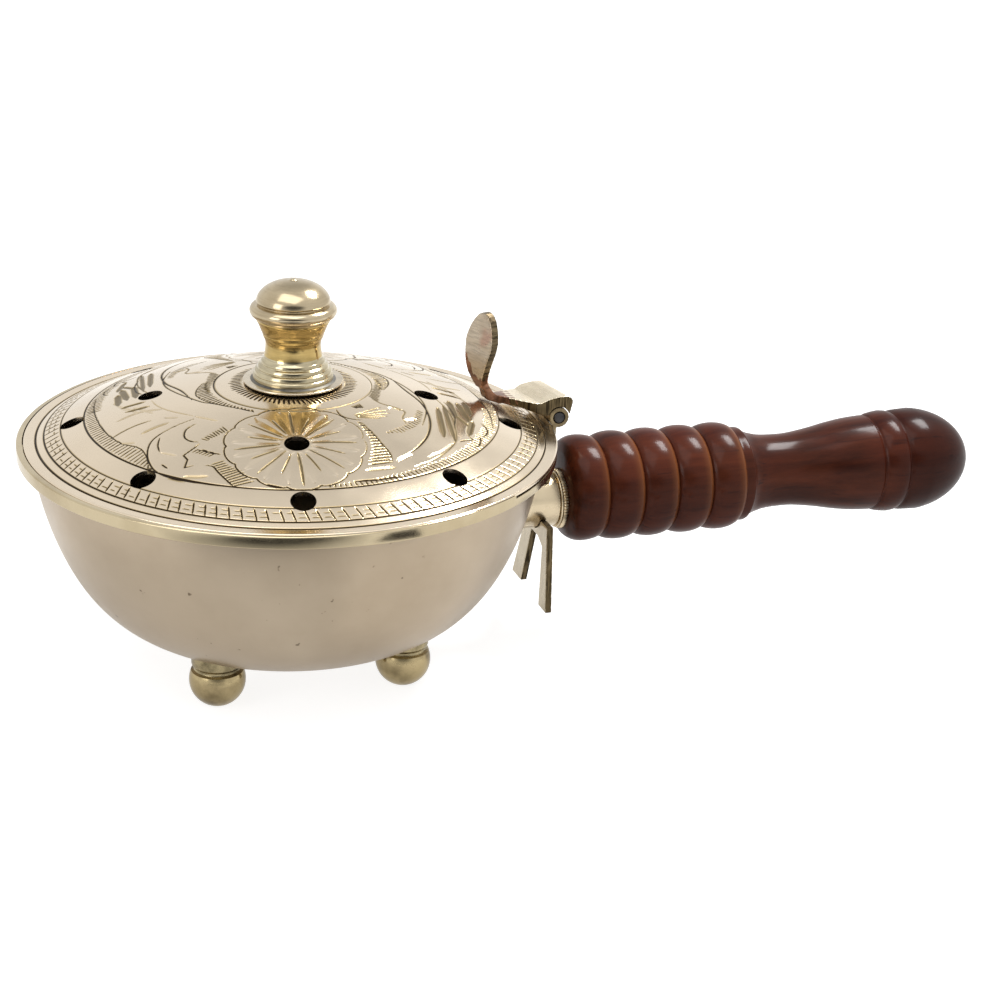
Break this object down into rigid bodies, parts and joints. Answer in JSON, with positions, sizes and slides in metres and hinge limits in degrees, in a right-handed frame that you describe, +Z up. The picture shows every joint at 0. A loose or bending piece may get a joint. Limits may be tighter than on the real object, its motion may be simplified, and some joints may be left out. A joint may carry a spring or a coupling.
{
  "type": "incense pan",
  "caption": "Round brass incense pan on ball feet with a domed, pierced and engraved lid hinged at the back, a thumb leaf, a forked rest and a turned dark wooden handle.",
  "frame": {"origin": "on the floor, under the middle of the part's bounding box", "axes": "+X along the handle, away from the bowl; +Z up; +Y to the left when looking along the handle"},
  "size_m": [0.2932, 0.1518, 0.1138],
  "materials": {
    "brass": "polished and satin, with light tarnish",
    "steel": "dull",
    "hardwood": "glossy red-brown varnish"
  },
  "bodies": {
    "pan": {"bowl": "brass", "foot_front_left": "brass", "foot_front_right": "brass", "foot_rear_left": "brass", "foot_rear_right": "brass", "hinge_leaf": "brass", "hinge_pin": "steel", "handle_socket": "brass", "forked_rest": "brass", "handle_washer": "brass", "ribbed_ring": "brass", "wooden_handle": "hardwood", "handle_rod": "steel", "rod_nut": "steel", "saddle_washer": "brass"},
    "lid_assembly": {"lid": "brass", "knob_boss": "brass", "knob": "brass", "knob_washer": "steel", "knob_screw": "steel", "hinge_strap": "brass", "strap_knuckle": "brass"}
  },
  "joints": [
    {"name": "lid_hinge", "type": "hinge", "parent": "pan", "child": "lid_assembly", "pos_m": [0.00768, 0, 0.0697], "axis": [0, 1, 0], "range_deg": [0, 110]}
  ]
}
